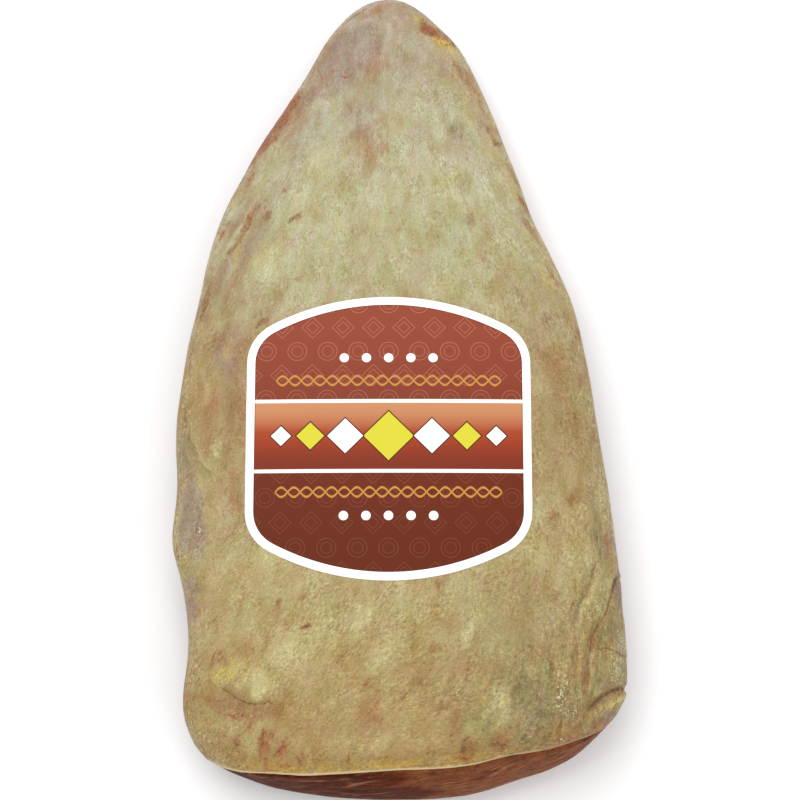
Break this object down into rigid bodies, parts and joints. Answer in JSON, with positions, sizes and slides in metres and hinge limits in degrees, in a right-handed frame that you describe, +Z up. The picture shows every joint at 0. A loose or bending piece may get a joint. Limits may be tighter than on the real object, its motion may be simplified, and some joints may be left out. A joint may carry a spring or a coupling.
{
  "type": "raw picanha",
  "caption": "Raw beef rump cap: a wedge of lean meat under a thick cap of fat, round at the thin tip and cut square at the wide end, with a plain die-cut label on the fat.",
  "frame": {"origin": "on the resting plane, under the middle of the piece's box in plan", "axes": "+Z up from the resting plane through the fat, +Y towards the thin tip, -Y towards the cut end, +X to the right as seen from above with the tip away"},
  "size_m": [0.1634, 0.3054, 0.0465],
  "materials": {
    "lean": "satin",
    "fat": "satin",
    "label": "satin"
  },
  "bodies": {
    "root": {"meat": "lean", "fat_cap": "fat", "label": "label"}
  },
  "joints": []
}
